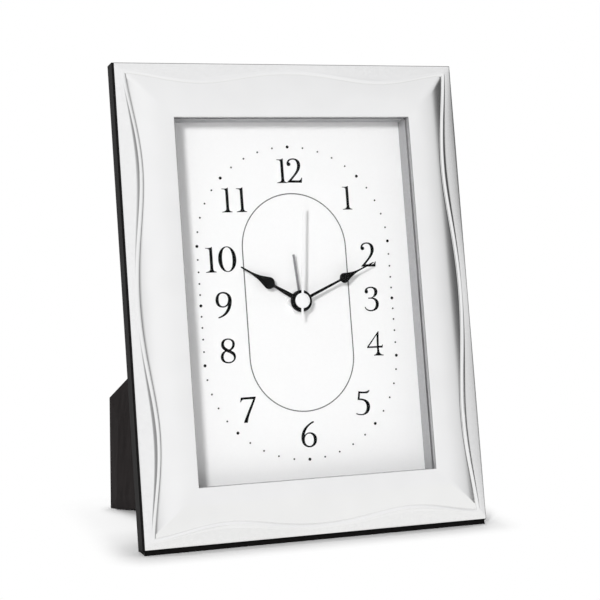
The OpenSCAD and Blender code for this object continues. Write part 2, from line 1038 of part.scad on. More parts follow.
module intermediate_wheel() {
  color("ivory")
    at_dial()
      translate([step_at[0], step_at[1], 0]) {
        translate([0, 0, second_layer - 0.2])
          wheel(8, second_m, wheel_t + 0.2, gap_towards(step_dir + 180, 8));
        translate([0, 0, step_layer])
          wheel(48, rotor_m, wheel_t - 0.1, rotor_dir);
        arbor(step_layer - 1.4, second_layer + 0.8);
      }
}

magnet_r = 3;

module rotor() {
  color("#55565a")
    at_dial()
      translate([rotor_at[0], rotor_at[1], 0]) {
        translate([0, 0, magnet_layer])
          cylinder(r = magnet_r, h = 2.4);
        translate([0, 0, step_layer - 0.4])
          wheel(8, rotor_m, wheel_t + 0.6, gap_towards(rotor_dir + 180, 8));
        arbor(magnet_layer - 0.3, step_layer + 0.6);
      }
}

coil_x = -22;
coil_y = 14;
coil_len = 14;
coil_r = 1.9;

module stator() {
  color("#7d7f84")
    at_dial()
      translate([0, 0, magnet_layer + 0.7])
        linear_extrude(1)
          difference() {
            union() {
              translate([coil_x - 1.5, rotor_at[1] - 4.8])
                square([rotor_at[0] + 7 - coil_x, 9.6]);
              translate([coil_x - 1.5, rotor_at[1]])
                square([3, coil_y + coil_len / 2 + 1 - rotor_at[1]]);
            }
            translate(rotor_at)
              circle(magnet_r + 0.5);
          }
}

module coil() {
  color("#b4602c")
    at_dial()
      translate([coil_x, coil_y, magnet_layer + 1.2])
        rotate([90, 0, 0])
          difference() {
            union() {
              cylinder(r = coil_r, h = coil_len, center = true);
              for (z = [-1, 1])
                translate([0, 0, z * coil_len / 2])
                  cylinder(r = coil_r + 0.6, h = 0.8, center = true);
            }
            cube([3.1, 1.1, 2 * coil_len], center = true);
          }
}

// Circuit board, seated against the case's upper wall
board_w = 26;
board_h = 10.5;
board_t = 1;
board_gap = 0.3;

module circuit_board() {
  color("#2f6b3c")
    at_dial()
      translate([5 - board_w / 2, inner_w / 2 - board_gap - board_h, dial_back - 11])
        cube([board_w, board_h, board_t]);
}

module buzzer() {
  color("#77797c")
    at_dial()
      translate([14, -2.6, case_back + case_wall]) {
        cylinder(r = 7, h = 3.6);
        cylinder(r = 1.5, h = 4.6);
      }
}

module battery() {
  color("#6b6e72")
    at_dial()
      translate([0, bay_y, battery_z])
        rotate([0, 90, 0]) {
          translate([0, 0, -battery_len / 2])
            cylinder(r = battery_d / 2, h = battery_len);
          translate([0, 0, battery_len / 2])
            cylinder(r = 2.6, h = 1);
        }
}

contact_t = 0.4;

module positive_contact() {
  color("#c8cacd")
    at_dial()
      translate([inner_w / 2 - contact_t, bay_y - 4.5, battery_z - 4.5])
        cube([contact_t, 9, 9]);
}

// Negative contact: its spring narrows towards the battery's flat end
spring_gap = 0.05;
module negative_contact() {
  color("#c8cacd")
    at_dial()
      translate([-inner_w / 2, bay_y, battery_z])
        rotate([0, 90, 0]) {
          translate([-4.5, -4.5, 0])
            cube([9, 9, contact_t]);
          translate([0, 0, contact_t])
            cylinder(r1 = 3.6, r2 = 2.4,
              h = inner_w / 2 - battery_len / 2 - contact_t - spring_gap);
        }
}

// Knurled setting knob with its shaft and inner pinion
module setting_knob(pinion_n, pinion_m, pinion_layer, tooth_at) {
  difference() {
    translate([0, 0, case_back - knob_gap - knob_h])
      cylinder(r = knob_r, h = knob_h);
    for (i = [0:knurls - 1])
      rotate(i * 360 / knurls)
        translate([knob_r + 0.25, 0, case_back - knob_gap - knob_h - 1])
          cylinder(r = 0.6, h = knob_h + 2, $fn = 16);
    translate([0, 0, case_back - knob_gap - knob_h - 1])
      cylinder(r = knob_r - 2, h = 1.6);
  }
  translate([0, 0, case_back - knob_gap - 0.5])
    cylinder(r = shaft_r, h = pinion_layer - case_back + knob_gap + 0.5);
  translate([0, 0, pinion_layer - 0.2])
    wheel(pinion_n, pinion_m, wheel_t + 0.4, tooth_at);
  arbor(pinion_layer, pivot_end);
}

module time_knob() {
  color("#d9d9d6")
    at_dial()
      translate([time_at[0], time_at[1], 0])
        setting_knob(12, motion_m, motion_layer, gap_towards(180, 12));
}

module alarm_knob() {
  color("#d9d9d6")
    at_dial()
      translate([alarm_knob_at[0], alarm_knob_at[1], 0])
        setting_knob(24, alarm_m, alarm_layer, gap_towards(alarm_dir + 180, 24));
}

module alarm_switch() {
  color("#d9d9d6")
    at_dial()
      translate([switch_at[0], switch_at[1], 0]) {
        translate([-switch_w / 2, -switch_h / 2, case_back - 1.8])
          cube([switch_w, switch_h, 1.8 + case_wall + 0.1]);
        translate([-switch_w / 2 - 1, -switch_h / 2 - 1, case_back + case_wall + 0.05])
          cube([switch_w + 2, switch_h + 2, 0.8]);
        for (i = [-1, 0, 1])
          translate([i * 1.3 - 0.3, -switch_h / 2, case_back - 2.2])
            cube([0.6, switch_h, 0.5]);
      }
}

silver_front();
frame_body();
glass();
dial_surround();
dial_plate();
back_cover();
cover_screws();
strut_panel();
hinge_fixed_leaves();
hinge_moving_leaves();
hinge_pins();
hinge_screws();
strut_screws();
movement_front_case();
movement_rear_case();
fixing_nut();
fixing_washer();
hour_hand();
minute_hand();
second_hand();
alarm_hand();
minute_pipe();
hour_wheel();
alarm_wheel();
motion_wheel();
second_wheel();
third_wheel();
centre_wheel();
intermediate_wheel();
rotor();
stator();
coil();
circuit_board();
buzzer();
battery();
positive_contact();
negative_contact();
time_knob();
alarm_knob();
alarm_switch();
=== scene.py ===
import bpy
import bmesh
import math
from mathutils import Matrix, Vector


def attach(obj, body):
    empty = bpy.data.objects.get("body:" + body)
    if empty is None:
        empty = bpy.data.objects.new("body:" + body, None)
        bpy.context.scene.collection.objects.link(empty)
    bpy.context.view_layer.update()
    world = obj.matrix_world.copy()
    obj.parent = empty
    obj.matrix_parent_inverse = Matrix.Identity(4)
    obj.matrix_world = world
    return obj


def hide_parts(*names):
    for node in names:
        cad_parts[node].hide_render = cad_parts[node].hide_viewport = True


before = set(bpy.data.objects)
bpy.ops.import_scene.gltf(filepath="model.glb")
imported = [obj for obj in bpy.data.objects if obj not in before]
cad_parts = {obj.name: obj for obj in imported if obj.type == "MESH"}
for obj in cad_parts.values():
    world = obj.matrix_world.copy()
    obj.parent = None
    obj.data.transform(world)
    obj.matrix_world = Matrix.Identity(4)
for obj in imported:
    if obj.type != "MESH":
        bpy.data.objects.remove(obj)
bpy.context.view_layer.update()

# Sizes of the clock in millimetres, as the solids have them
FRAME_W = 175.0
FRAME_H = 229.0
BAND_W = 27.0
BODY_T = 9.0
LEDGE = 0.4
LEAN = math.radians(12.0)
SHEET_T = 0.6
SKIRT_H = 1.3
RIDGE_NEAR = 4.3
RIDGE_FAR = 9.3
RIDGE_SKEW = 0.756
LIP_H = 5.7
GLASS_DROP = 2.5
DIAL_FRONT = 1.5
DIAL_DROP = 1.6
HAND_T = 0.3

# Pieces are drawn on the face in millimetres: x right, y up the face, z out of the face
MM = 0.001
FACE = (Matrix.Scale(MM, 4) @ Matrix.Rotation(math.pi / 2 - LEAN, 4, "X")
        @ Matrix.Translation((0, LEDGE + BODY_T / 2 * math.tan(LEAN), -BODY_T / 2)))
DIAL = FACE @ Matrix.Translation((0, FRAME_H / 2 - DIAL_DROP, 0))


# Camera

AZIMUTH = math.radians(-20.46)
ELEVATION = math.radians(6.41)
AIM = Vector((0, 4.6, 114.8))
DISTANCE = 785.77
SHIFT_RIGHT = -6.95
SHIFT_UP = -0.43
LENS = 99.0


def make_camera():
    """Camera at the photograph's viewing angle."""
    back = Vector((math.sin(AZIMUTH) * math.cos(ELEVATION),
                   -math.cos(AZIMUTH) * math.cos(ELEVATION), math.sin(ELEVATION)))
    right = (-back).cross(Vector((0, 0, 1))).normalized()
    up = right.cross(-back)
    place = (AIM + back * DISTANCE + right * SHIFT_RIGHT + up * SHIFT_UP) * MM
    data = bpy.data.cameras.new("camera")
    data.lens = LENS
    data.sensor_width = 36.0
    data.clip_start = 0.01
    data.clip_end = 50.0
    camera = bpy.data.objects.new("camera", data)
    turn = Matrix((right, up, back)).transposed().to_4x4()
    camera.matrix_world = Matrix.Translation(place) @ turn
    bpy.context.scene.collection.objects.link(camera)
    bpy.context.scene.camera = camera


make_camera()


# Materials

def empty_tree(owner):
    """Node tree of a material or a world, cleared."""
    owner.use_nodes = True
    owner.node_tree.nodes.clear()
    return owner.node_tree


def add(tree, kind, inputs=None, **settings):
    """Adds a node with its settings, and fills inputs by name or number."""
    node = tree.nodes.new(kind)
    for key, value in settings.items():
        setattr(node, key, value)
    for key, value in (inputs or {}).items():
        node.inputs[key].default_value = value
    return node


def wire(tree, *links):
    """Links nodes. Each link is a node, its output, the next node and its input."""
    for source, output, target, socket in links:
        tree.links.new(source.outputs[output], target.inputs[socket])


def make_grain_group():
    """Node group: object-space grain. Gives a 0 to 1 mask and a bumped normal."""
    tree = bpy.data.node_groups.new("grain", "ShaderNodeTree")
    for name, way, kind in (("Scale", "INPUT", "Float"), ("Stretch", "INPUT", "Vector"),
                            ("Depth", "INPUT", "Float"), ("Mask", "OUTPUT", "Float"),
                            ("Normal", "OUTPUT", "Vector")):
        tree.interface.new_socket(name, in_out=way, socket_type="NodeSocket" + kind)
    given = add(tree, "NodeGroupInput")
    result = add(tree, "NodeGroupOutput")
    coord = add(tree, "ShaderNodeTexCoord")
    mapping = add(tree, "ShaderNodeMapping")
    noise = add(tree, "ShaderNodeTexNoise", {"Detail": 4.0, "Roughness": 0.55})
    bump = add(tree, "ShaderNodeBump", {"Strength": 1.0})
    wire(tree,
         (coord, "Object", mapping, "Vector"),
         (given, "Stretch", mapping, "Scale"),
         (mapping, "Vector", noise, "Vector"),
         (given, "Scale", noise, "Scale"),
         (noise, "Fac", bump, "Height"),
         (given, "Depth", bump, "Distance"),
         (noise, "Fac", result, "Mask"),
         (bump, "Normal", result, "Normal"))
    return tree


GRAIN = make_grain_group()


def material(name, color, dark, rough, scale, depth,
             stretch=(1, 1, 1), metallic=0.0, coat=0.0, specular=0.5):
    """A Principled material whose colour, roughness and normal come from the grain group."""
    mat = bpy.data.materials.new(name)
    tree = empty_tree(mat)
    out = add(tree, "ShaderNodeOutputMaterial")
    shader = add(tree, "ShaderNodeBsdfPrincipled", {
        "Metallic": metallic, "Coat Weight": coat, "Coat Roughness": 0.1, "Specular IOR Level": specular})
    grain = add(tree, "ShaderNodeGroup", {
        "Scale": scale, "Stretch": stretch, "Depth": depth}, node_tree=GRAIN)
    ramp = add(tree, "ShaderNodeValToRGB")
    for stop, place, tone in zip(ramp.color_ramp.elements, (0.3, 0.7), (dark, color)):
        stop.position = place
        stop.color = (*tone, 1)
    span = add(tree, "ShaderNodeMapRange", {"To Min": rough[0], "To Max": rough[1]})
    wire(tree,
         (grain, "Mask", ramp, "Fac"),
         (grain, "Mask", span, "Value"),
         (ramp, "Color", shader, "Base Color"),
         (span, "Result", shader, "Roughness"),
         (grain, "Normal", shader, "Normal"),
         (shader, "BSDF", out, "Surface"))
    return mat


def glass_material():
    """Clear pane: passes light straight on, with the Fresnel gloss of a flat sheet."""
    mat = bpy.data.materials.new("clear_pane")
    tree = empty_tree(mat)
    out = add(tree, "ShaderNodeOutputMaterial")
    clear = add(tree, "ShaderNodeBsdfTransparent")
    gloss = add(tree, "ShaderNodeBsdfPrincipled", {
        "Base Color": (1, 1, 1, 1), "Roughness": 0.02, "Metallic": 1.0})
    fresnel = add(tree, "ShaderNodeFresnel", {"IOR": 1.12})
    mix = add(tree, "ShaderNodeMixShader")
    wire(tree,
         (fresnel, "Fac", mix, "Fac"),
         (clear, "BSDF", mix, 1),
         (gloss, "BSDF", mix, 2),
         (mix, "Shader", out, "Surface"))
    return mat


SILVER = material("silver_plate", (0.94, 0.94, 0.935), (0.91, 0.91, 0.905), rough=(0.10, 0.17),
                  metallic=1.0, scale=60.0, depth=0.000003)
SILVER_RIM = material("silver_rim", (0.93, 0.93, 0.925), (0.89, 0.89, 0.885), rough=(0.15, 0.22),
                      metallic=1.0, scale=500.0, depth=0.000004)
# Black lacquer of the body; the same black is painted on the silver's turned edge as painted shade
LACQUER_AND_EDGE_SHADE = material("black_lacquer_and_edge_shade", (0.010, 0.0095, 0.0095), (0.006, 0.0055, 0.0055), rough=(0.35, 0.50),
                   scale=500.0, stretch=(1, 1, 0.08), depth=0.00001, specular=0.015)
STRUT_LACQUER = material("strut_lacquer", (0.024, 0.021, 0.021), (0.016, 0.014, 0.014), rough=(0.4, 0.5),
                         scale=500.0, stretch=(1, 1, 0.08), depth=0.00001, specular=0.03)
SATIN = material("surround_satin", (0.46, 0.46, 0.47), (0.39, 0.39, 0.40), rough=(0.4, 0.55),
                 metallic=0.35, scale=900.0, stretch=(0.1, 1, 1), depth=0.00001)
DIAL_WHITE = material("dial_white", (0.93, 0.93, 0.93), (0.915, 0.915, 0.915), rough=(0.5, 0.6),
                      scale=900.0, depth=0.000002)
INK = material("dial_ink", (0.006, 0.006, 0.006), (0.004, 0.004, 0.004), rough=(0.45, 0.6), scale=2000.0,
               depth=0.000001, specular=0.03)
INK_GREY = material("oblong_ink", (0.15, 0.15, 0.15), (0.12, 0.12, 0.12), rough=(0.5, 0.6), scale=2000.0,
                    depth=0.000001, specular=0.1)
HAND_BLACK = material("hand_black", (0.005, 0.005, 0.005), (0.003, 0.003, 0.003), rough=(0.25, 0.35),
                      scale=800.0, depth=0.000002, specular=0.04)
NUT_WHITE = material("white_nut", (0.90, 0.90, 0.90), (0.87, 0.87, 0.87), rough=(0.35, 0.45),
                     scale=700.0, depth=0.000004)
SECOND_SILVER = material("second_hand_silver", (0.95, 0.95, 0.95), (0.92, 0.92, 0.92), rough=(0.25, 0.35),
                         metallic=0.3, scale=1500.0, stretch=(1, 1, 0.05), depth=0.000002)
ALARM_GREY = material("alarm_hand_grey", (0.32, 0.32, 0.33), (0.26, 0.26, 0.27), rough=(0.25, 0.35),
                      metallic=0.7, scale=1500.0, stretch=(1, 1, 0.05), depth=0.000002)
PLASTIC = material("black_plastic", (0.030, 0.030, 0.031), (0.020, 0.020, 0.021), rough=(0.45, 0.6),
                   scale=2600.0, depth=0.00004)
CASE_PLASTIC = material("case_plastic", (0.040, 0.040, 0.042), (0.030, 0.030, 0.032), rough=(0.3, 0.42),
                        scale=1500.0, depth=0.00001)
DARK_STEEL = material("dark_screw", (0.10, 0.10, 0.105), (0.05, 0.05, 0.052), rough=(0.3, 0.5),
                      metallic=0.9, scale=700.0, depth=0.00001)
BRASS = material("brass", (0.78, 0.60, 0.30), (0.62, 0.45, 0.20), rough=(0.22, 0.38), metallic=1.0,
                 scale=500.0, stretch=(1, 1, 0.2), depth=0.000006)
WHITE_PLASTIC = material("white_plastic", (0.82, 0.82, 0.80), (0.78, 0.78, 0.76), rough=(0.35, 0.45),
                         scale=900.0, depth=0.000006)
GEAR_PLASTIC = material("gear_plastic", (0.84, 0.81, 0.72), (0.78, 0.75, 0.66), rough=(0.35, 0.5),
                        scale=900.0, depth=0.000004)
MAGNET = material("magnet", (0.16, 0.16, 0.17), (0.10, 0.10, 0.11), rough=(0.4, 0.6), metallic=0.8,
                  scale=900.0, depth=0.00001)
STEEL = material("plain_steel", (0.62, 0.62, 0.64), (0.50, 0.50, 0.52), rough=(0.25, 0.4), metallic=1.0,
                 scale=700.0, stretch=(0.1, 1, 1), depth=0.000005)
COPPER = material("copper_winding", (0.60, 0.27, 0.12), (0.42, 0.17, 0.07), rough=(0.25, 0.4),
                  metallic=0.7, scale=3000.0, stretch=(0.05, 0.05, 1), depth=0.00003)
BOARD = material("circuit_board", (0.05, 0.22, 0.09), (0.03, 0.14, 0.06), rough=(0.3, 0.4), scale=600.0,
                 depth=0.000006, coat=0.3)
JACKET = material("cell_jacket", (0.22, 0.23, 0.25), (0.17, 0.18, 0.20), rough=(0.2, 0.3), metallic=0.5,
                  scale=500.0, stretch=(0.1, 1, 1), depth=0.000004)
GLASS = glass_material()

NODE_LOOKS = {
    LACQUER_AND_EDGE_SHADE: ["frame_body"],
    STRUT_LACQUER: ["strut_panel"],
    GLASS: ["glass"],
    SATIN: ["dial_surround"],
    DIAL_WHITE: ["dial_plate"],
    PLASTIC: ["back_cover"],
    CASE_PLASTIC: ["movement_front_case", "movement_rear_case"],
    DARK_STEEL: ["cover_screws"],
    BRASS: ["hinge_fixed_leaves", "hinge_moving_leaves", "hinge_pins", "hinge_screws", "strut_screws",
            "minute_pipe"],
    NUT_WHITE: ["fixing_nut", "fixing_washer"],
    HAND_BLACK: ["hour_hand", "minute_hand"],
    SECOND_SILVER: ["second_hand"],
    ALARM_GREY: ["alarm_hand"],
    WHITE_PLASTIC: ["time_knob", "alarm_knob", "alarm_switch"],
    GEAR_PLASTIC: ["hour_wheel", "alarm_wheel", "motion_wheel", "second_wheel", "third_wheel",
                   "centre_wheel", "intermediate_wheel"],
    MAGNET: ["rotor"],
    STEEL: ["stator", "buzzer", "positive_contact", "negative_contact"],
    COPPER: ["coil"],
    BOARD: ["circuit_board"],
    JACKET: ["battery"],
    SILVER: ["silver_front"],
}


def dress_nodes():
    """Gives every solid its material."""
    for look, names in NODE_LOOKS.items():
        for name in names:
            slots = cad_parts[name].data.materials
            slots.clear()
            slots.append(look)


dress_nodes()


# Finishing a piece

SMOOTH_ANGLE = math.radians(32)
MERGE_DISTANCE = 1e-5


def finish_piece(bm, name, look, body="clock", place=FACE, smooth=True):
    """Moves the mesh from where it was drawn to the clock and makes it a piece."""
    bmesh.ops.remove_doubles(bm, verts=bm.verts, dist=MERGE_DISTANCE)
    bmesh.ops.recalc_face_normals(bm, faces=bm.faces)
    bm.transform(place)
    mesh = bpy.data.meshes.new(name)
    bm.to_mesh(mesh)
    bm.free()
    mesh.materials.append(look)
    piece = bpy.data.objects.new(name, mesh)
    bpy.context.scene.collection.objects.link(piece)
    if smooth:
        mesh.shade_smooth()
        mesh.set_sharp_from_angle(angle=SMOOTH_ANGLE)
    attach(piece, body)
    return piece


def bezier(a, b, c, d, n):
    """Points of a cubic curve, both ends included."""
    points = []
    for i in range(n + 1):
        t = i / n
        w = ((1 - t) ** 3, 3 * t * (1 - t) ** 2, 3 * t * t * (1 - t), t ** 3)
        points.append(tuple(w[0] * a[k] + w[1] * b[k] + w[2] * c[k] + w[3] * d[k] for k in range(len(a))))
    return points


# Silver front: a pressed sheet whose section runs round the mitred rectangle

# Rim, ridge and groove: distances out from the ridge line or in from it, heights and drops
TURN_R = 0.3
RIDGE_BACK = 0.9
RIDGE_H = 0.15
RIDGE_STEP = 0.85
CREST_OUT = 0.62
CREST_IN = 0.6
FOOT_OUT = 1.1
FOOT_SINK = 0.8
GROOVE_IN = 0.95
GROOVE_DROP = 0.29
BAND_IN = 1.35
CROWN_IN = BAND_W - 4.8
LIP_IN = BAND_W - 0.5
RISE_K = ((LIP_H - SKIRT_H - RIDGE_STEP)
          / ((CROWN_IN - RIDGE_NEAR - RIDGE_BACK) ** 2 - (CROWN_IN - LIP_IN) ** 2))
SIDE_STEPS = 96

# Faces of the section with a finish of their own, counted from the outer edge
# The turned edge is painted black: painted shade under the rim, partly standing for the body's black edge
EDGE_SHADE_FACES = range(0, 6)
RIM_FACES = range(6, 14)
WALL_FACES = range(63, 65)


def ridge_in(t):
    """Distance from the edge to the ridge at a share t of the side: it waves in and out twice."""
    x = (2 * min(t, 1 - t)) ** RIDGE_SKEW
    return RIDGE_NEAR + (RIDGE_FAR - RIDGE_NEAR) * (1 - math.cos(2 * math.pi * x)) / 2


def rise(d):
    """Height of the crowned moulding at a distance from the edge."""
    return LIP_H + RISE_K * ((CROWN_IN - LIP_IN) ** 2 - (CROWN_IN - d) ** 2)


def section(r):
    """Distance in from the edge and height over the body, for a ridge at distance r."""
    part = (r - RIDGE_NEAR) / (RIDGE_FAR - RIDGE_NEAR)
    top = rise(r + RIDGE_BACK) + RIDGE_H
    rim = (TURN_R, SKIRT_H + TURN_R)
    foot = (r - FOOT_OUT - FOOT_OUT * part, top - RIDGE_H - FOOT_SINK * part)
    crest = (r - CREST_OUT, top - 0.02)
    back = (r + CREST_IN, top - 0.06)
    groove = (r + GROOVE_IN, top - GROOVE_DROP)
    band = r + BAND_IN

    # The turned edge, then the slope up to the ridge
    pts = [(0, 0), (0, SKIRT_H - 0.1)]
    pts += bezier(pts[-1], (0, SKIRT_H + 0.12), (0.12, rim[1] - 0.07), rim, 5)[1:]
    for i in range(1, 8):
        t = i / 8
        lift = 1.2 * t - 0.2 * t * t
        pts.append((rim[0] + (foot[0] - rim[0]) * t, rim[1] + (foot[1] - rim[1]) * lift))

    # The ridge and the groove behind it
    pts += bezier((foot[0] - 0.02, foot[1] - 0.01), (foot[0] + 0.18, foot[1] + 0.03),
                  (crest[0] - 0.35, crest[1] - 0.12 - 0.2 * part), crest, 7)
    pts += bezier(crest, (r - 0.3, top + 0.03), (r + 0.2, top + 0.02), back, 5)[1:]
    pts += bezier(back, (r + 0.8, top - 0.1), (r + 0.84, groove[1]), groove, 5)[1:]
    pts += bezier(groove, (r + 1.05, top - 0.28), (band - 0.15, rise(band - 0.15)),
                  (band, rise(band)), 4)[1:]

    # The crowned band, its lip and the wall of the opening
    for i in range(1, 25):
        d = band + (LIP_IN - band) * i / 24
        pts.append((d, rise(d)))
    pts += bezier((LIP_IN, LIP_H), (BAND_W - 0.2, LIP_H - 0.04), (BAND_W, LIP_H - 0.15),
                  (BAND_W, LIP_H - 0.5), 5)[1:]
    pts += [(BAND_W, LIP_H - GLASS_DROP), (BAND_W - SHEET_T, LIP_H - GLASS_DROP),
            (BAND_W - SHEET_T, LIP_H - 0.8)]

    # The back of the sheet
    for i in range(6, 0, -1):
        d = band + (LIP_IN - band) * i / 7
        pts.append((d, rise(d) - SHEET_T))
    pts += [(r + 1, top - 0.3 - SHEET_T), (foot[0], foot[1] - SHEET_T),
            (SHEET_T + 0.1, SKIRT_H - 0.2), (SHEET_T, 0)]
    return pts


def rim_point(side, t, inset, z):
    """Point on the rectangle that lies a distance in from the front's edge."""
    w = FRAME_W / 2 - inset
    h = FRAME_H - 2 * inset
    return (Vector((-w + 2 * w * t, inset, z)), Vector((w, inset + h * t, z)),
            Vector((w - 2 * w * t, inset + h, z)), Vector((-w, inset + h - h * t, z)))[side]


def make_silver_front():
    """Lofts the section round the four sides; the corners come out mitred."""
    bm = bmesh.new()
    rings = []
    for side in range(4):
        for i in range(SIDE_STEPS):
            t = i / SIDE_STEPS
            points = [rim_point(side, t, x, BODY_T + z) for x, z in section(ridge_in(t))]
            rings.append([bm.verts.new(point) for point in points])
    for ring, following in zip(rings, rings[1:] + rings[:1]):
        for j in range(len(ring)):
            k = (j + 1) % len(ring)
            face = bm.faces.new((ring[j], ring[k], following[k], following[j]))
            for number, faces in ((1, RIM_FACES), (2, EDGE_SHADE_FACES), (3, WALL_FACES)):
                if j in faces:
                    face.material_index = number
    piece = finish_piece(bm, "silver_front_sheet", SILVER)
    # After the silver come the rim, the turned edge painted black as painted shade, and the wall
    for look in (SILVER_RIM, LACQUER_AND_EDGE_SHADE, SATIN):
        piece.data.materials.append(look)
    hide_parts("silver_front")


make_silver_front()


# Dial print: numerals, minute dots and the oblong line

PRINT_T = 0.03
SAME_POINT = 1e-4
TRACK_HALF_W = 49.8
TRACK_HALF_H = 76.8
HOUR_DOT_R = 0.75
MINUTE_DOT_R = 0.45
OBLONG_HALF_W = 26.9
OBLONG_HALF_H = 53.5
OBLONG_HALF_T = 0.28


def outline(*steps):
    """A closed outline from points and curves: pairs are corners, sixes are cubic curves."""
    points = [steps[0]]
    for step in steps[1:]:
        if len(step) == 2:
            points.append(step)
        else:
            points += bezier(points[-1], step[0:2], step[2:4], step[4:6], 8)[1:]
    return points


# Serif figures, drawn in thousandths of their height from the baseline: width, outlines
FIGURE_H = 1000
FIGURE_GAPS = {"10": 95, "11": 185, "12": 5}
DIGITS = {
    "0": (735, [
        outline((368, 1000), (580, 1000, 735, 780, 735, 500), (735, 220, 580, 0, 368, 0),
                (155, 0, 0, 220, 0, 500), (0, 780, 155, 1000, 368, 1000)),
        outline((368, 965), (495, 965, 580, 790, 580, 505), (580, 215, 500, 35, 368, 35),
                (240, 35, 158, 215, 158, 505), (158, 790, 240, 965, 368, 965))]),
    "1": (425, [
        outline((28, 962), (150, 958), (200, 956, 250, 970, 292, 1000), (300, 990), (300, 150),
                (300, 75, 330, 42, 425, 26), (425, 0), (0, 0), (0, 26), (120, 42, 180, 75, 180, 150),
                (180, 850), (178, 905, 150, 928, 28, 934))]),
    "2": (639, [
        outline((96, 684), (44, 685, 14, 731, 19, 790), (31, 921, 149, 1000, 305, 996),
                (496, 992, 613, 874, 597, 695), (580, 515, 427, 355, 313, 243), (189, 105), (483, 98),
                (553, 103, 582, 148, 608, 210), (639, 206), (613, 0), (0, 14), (3, 44),
                (220, 255, 435, 446, 454, 649), (470, 829, 422, 941, 300, 944),
                (196, 946, 130, 902, 109, 831), (158, 829, 186, 793, 182, 750),
                (178, 708, 138, 683, 96, 684))]),
    "3": (642, [
        outline((333, 995), (511, 989, 618, 911, 606, 781), (594, 652, 502, 583, 389, 555),
                (548, 527, 642, 423, 628, 277), (612, 99, 465, 0, 259, 7), (122, 11, 32, 79, 0, 181),
                (33, 199), (66, 114, 151, 62, 264, 59), (391, 54, 478, 142, 491, 282),
                (504, 418, 426, 508, 295, 512), (179, 516), (183, 561), (300, 558),
                (397, 571, 457, 656, 468, 779), (476, 873, 421, 940, 318, 943),
                (252, 946, 196, 928, 164, 880), (190, 860, 200, 824, 193, 788),
                (189, 746, 153, 725, 119, 726), (74, 727, 47, 767, 51, 816),
                (62, 929, 178, 1000, 333, 995))]),
    "4": (714, [
        outline((526, 1000), (562, 998), (522, 407), (631, 402), (667, 407, 677, 431, 689, 453),
                (710, 449), (685, 323), (525, 326), (528, 199), (527, 115, 575, 53, 714, 27), (712, 0),
                (279, 12), (282, 42), (386, 54, 427, 113, 432, 203), (440, 327), (0, 335), (4, 382)),
        outline((91, 398), (439, 400), (456, 849))]),
    "5": (651, [
        outline((167, 971), (299, 936, 448, 932, 531, 948), (577, 960, 601, 976, 618, 1000), (651, 984),
                (608, 881, 569, 865, 498, 865), (404, 867, 311, 872, 234, 883), (204, 680),
                (460, 663, 644, 540, 624, 330), (605, 119, 456, 0, 244, 11), (132, 17, 44, 33, 0, 84),
                (21, 115), (78, 77, 151, 62, 237, 58), (367, 51, 459, 162, 474, 316),
                (491, 503, 387, 600, 217, 612), (172, 618, 143, 623, 109, 618))]),
    "6": (660, [
        outline((523, 989), (566, 1000, 591, 962, 553, 931), (444, 897, 337, 810, 272, 726),
                (208, 640, 168, 552, 158, 483), (217, 549, 294, 582, 386, 577),
                (555, 567, 660, 441, 645, 282), (630, 116, 496, 0, 320, 10), (116, 22, 0, 185, 20, 407),
                (38, 600, 137, 754, 299, 862), (375, 921, 449, 960, 523, 989)),
        outline((357, 528), (473, 522, 526, 405, 513, 266), (501, 140, 431, 60, 332, 66),
                (209, 73, 137, 177, 151, 333), (163, 459, 251, 534, 357, 528))]),
    "7": (659, [
        outline((38, 994), (642, 1000), (659, 978), (572, 758, 445, 512, 356, 320),
                (308, 203, 277, 106, 257, 2), (92, 0), (154, 148, 255, 353, 369, 575),
                (436, 702, 498, 804, 541, 907), (150, 911), (90, 907, 65, 880, 32, 808), (0, 820))]),
    "8": (648, [
        outline((359, 993), (526, 986, 639, 892, 627, 759), (617, 649, 555, 565, 453, 509),
                (589, 453, 648, 371, 637, 251), (624, 99, 487, 0, 309, 8), (118, 16, 0, 125, 14, 277),
                (24, 388, 92, 464, 200, 514), (105, 575, 49, 657, 59, 767),
                (72, 910, 191, 1000, 359, 993)),
        outline((361, 939), (471, 934, 532, 865, 522, 757), (513, 653, 457, 592, 372, 554),
                (250, 616, 172, 677, 181, 778), (191, 883, 260, 943, 361, 939)),
        outline((247, 471), (432, 399, 561, 333, 549, 207), (541, 112, 442, 59, 314, 64),
                (190, 70, 121, 155, 132, 282), (140, 367, 186, 429, 247, 471))]),
    "9": (672, [
        outline((328, 994), (530, 988, 672, 846, 652, 634), (634, 437, 561, 273, 438, 161),
                (351, 82, 233, 31, 109, 5), (79, 0, 73, 37, 96, 48), (239, 92, 337, 174, 404, 278),
                (449, 346, 477, 406, 490, 473), (430, 423, 357, 398, 274, 401),
                (91, 407, 0, 543, 16, 716), (31, 883, 161, 1000, 328, 994)),
        outline((316, 934), (444, 930, 523, 836, 510, 694), (496, 548, 416, 448, 294, 452),
                (176, 456, 125, 576, 141, 742), (153, 879, 213, 938, 316, 934))]),
}

# Each numeral: its figures, its middle on the dial and its height, in millimetres
NUMERALS = [
    ("12", 0.1, 65.0, 12.3), ("1", 29.6, 51.0, 12.0), ("2", 38.6, 22.2, 12.3),
    ("3", 38.7, -0.1, 12.4), ("4", 38.7, -22.4, 12.1), ("5", 29.9, -51.2, 12.4),
    ("6", 0.4, -64.8, 12.8), ("7", -29.4, -51.0, 12.3), ("8", -37.8, -22.2, 12.2),
    ("9", -38.2, 0.0, 12.8), ("10", -38.2, 22.1, 12.5), ("11", -29.5, 51.0, 12.2),
]


